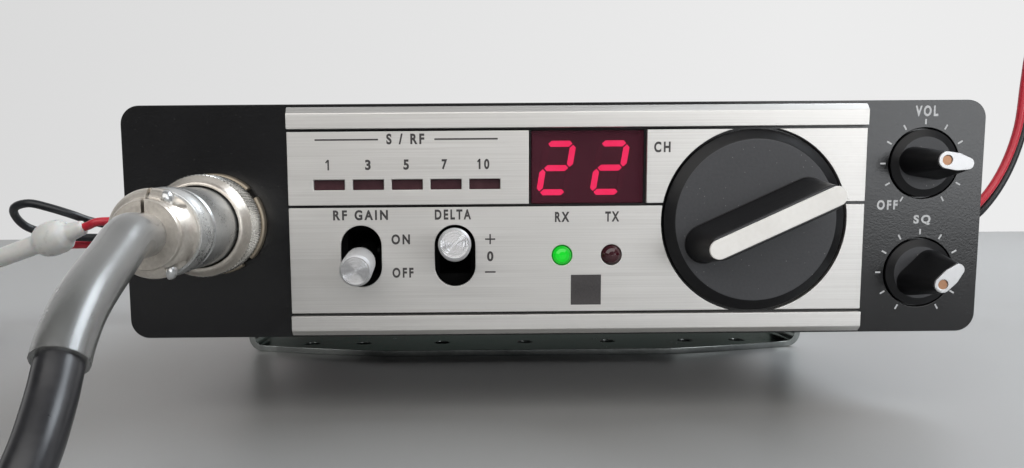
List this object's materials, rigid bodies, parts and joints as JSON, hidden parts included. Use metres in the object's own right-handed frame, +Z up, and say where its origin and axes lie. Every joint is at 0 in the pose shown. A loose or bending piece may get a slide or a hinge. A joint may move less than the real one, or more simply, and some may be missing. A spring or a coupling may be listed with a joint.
{
  "type": "mobile citizens band radio",
  "caption": "Mobile two-way radio with brushed front plates, red channel display, knobs and toggles, on a tilting bracket, with a hand microphone on its cable and a fused supply lead.",
  "frame": {"origin": "underside of the bracket's base, midway between its ears and under the tilt axis", "axes": "+Z up, +X to the viewer's right, the front panel faces -Y"},
  "size_m": [0.511, 0.3303, 0.1258],
  "materials": {
    "bracket_zinc": "dull zinc plate",
    "panel_black": "satin textured",
    "brushed_aluminium": "brushed along its length",
    "meter_red": "dark red",
    "window_red": "dark red filter",
    "display_body": "matt",
    "display_lit": "lit red",
    "lamp_green": "lit green",
    "lamp_dark_red": "unlit",
    "nickel": "worn nickel plate",
    "clear_sleeve": "clear, slightly yellowed",
    "cable_black": "satin",
    "knob_black": "gloss skirt, satin face",
    "pointer_pale": "off-white",
    "pointer_bright": "spun and bright",
    "steel": "plated",
    "switch_black": "matt",
    "cover_paint": "satin",
    "heat_sink_black": "black anodised",
    "board_green": "board",
    "cone_paper": "paper",
    "wire_red": "satin",
    "white_plastic": "translucent white",
    "capsule_metal": "plain"
  },
  "bodies": {
    "bracket": {"mounting_bracket": "bracket_zinc", "mic_cable": "cable_black", "mic_cable_coil": "cable_black", "mic_cable_tail": "cable_black", "cable_sleeve": "clear_sleeve", "red_lead_in": "wire_red", "red_lead_out": "wire_red", "black_lead": "cable_black", "fuse_holder": "white_plastic", "supply_plug": "white_plastic", "mic_back_shell": "switch_black", "mic_front_shell": "switch_black", "mic_capsule": "capsule_metal", "mic_boot": "cable_black"},
    "radio": {"front_panel": "panel_black", "trim_rails": "brushed_aluminium", "meter_plate": "brushed_aluminium", "channel_plate": "brushed_aluminium", "control_plate": "brushed_aluminium", "meter_filter": "meter_red", "display_window": "window_red", "display_module": "display_body", "lit_segments": "display_lit", "rx_lamp": "lamp_green", "tx_lamp": "lamp_dark_red", "mic_socket": "nickel", "mic_plug": "nickel", "cable_clamp": "nickel", "clamp_screws": "nickel", "toggle_switches": "switch_black", "rotary_controls": "steel", "chassis": "steel", "top_cover": "cover_paint", "bottom_cover": "cover_paint", "cover_screws": "steel", "circuit_boards": "board_green", "board_parts": "steel", "speaker_frame": "steel", "speaker_cone": "cone_paper", "heat_sink": "heat_sink_black", "antenna_socket": "steel", "speaker_jack": "steel", "lead_grommet": "cable_black", "pivot_washers": "cable_black"},
    "coupling_ring": {"coupling_ring": "nickel"},
    "channel_knob": {"channel_knob": "knob_black", "channel_pointer": "pointer_pale", "channel_shaft": "steel"},
    "volume_knob": {"volume_knob": "knob_black", "volume_pointer": "pointer_bright", "volume_shaft": "steel"},
    "squelch_knob": {"squelch_knob": "knob_black", "squelch_pointer": "pointer_bright", "squelch_shaft": "steel"},
    "gain_lever": {"gain_lever": "pointer_bright"},
    "delta_lever": {"delta_lever": "pointer_bright"},
    "left_thumbscrew": {"left_thumbscrew": "knob_black"},
    "right_thumbscrew": {"right_thumbscrew": "knob_black"},
    "talk_bar": {"talk_bar": "switch_black"}
  },
  "joints": [
    {"name": "radio_tilt", "type": "hinge", "parent": "bracket", "child": "radio", "pos_m": [0, 0, 0.0466], "axis": [1, 0, 0], "range_deg": [-10, 10], "deforming": ["mic_cable", "cable_sleeve", "red_lead_in", "black_lead"]},
    {"name": "coupling_ring_turn", "type": "hinge", "parent": "radio", "child": "coupling_ring", "pos_m": [-0.0768, -0.098, 0.0464], "axis": [0, 1, 0], "continuous": true},
    {"name": "channel_turn", "type": "hinge", "parent": "radio", "child": "channel_knob", "pos_m": [0.0452, -0.098, 0.0463], "axis": [0, 1, 0], "continuous": true},
    {"name": "volume_turn", "type": "hinge", "parent": "radio", "child": "volume_knob", "pos_m": [0.0839, -0.098, 0.05885], "axis": [0, 1, 0], "range_deg": [-70, 230]},
    {"name": "squelch_turn", "type": "hinge", "parent": "radio", "child": "squelch_knob", "pos_m": [0.0839, -0.098, 0.034], "axis": [0, 1, 0], "range_deg": [-15, 285]},
    {"name": "gain_flip", "type": "hinge", "parent": "radio", "child": "gain_lever", "pos_m": [-0.044, -0.088, 0.0394], "axis": [1, 0, 0], "range_deg": [-14, 0]},
    {"name": "delta_flip", "type": "hinge", "parent": "radio", "child": "delta_lever", "pos_m": [-0.0227, -0.088, 0.0394], "axis": [1, 0, 0], "range_deg": [0, 14]},
    {"name": "left_thumbscrew_turn", "type": "hinge", "parent": "bracket", "child": "left_thumbscrew", "pos_m": [-0.0925, 0, 0.0466], "axis": [1, 0, 0], "continuous": true},
    {"name": "right_thumbscrew_turn", "type": "hinge", "parent": "bracket", "child": "right_thumbscrew", "pos_m": [0.0925, 0, 0.0466], "axis": [1, 0, 0], "continuous": true},
    {"name": "talk_press", "type": "slide", "parent": "bracket", "child": "talk_bar", "axis": [-1, 0, 0], "range_m": [0, 0.0025], "stiffness_N_per_m": 400}
  ]
}
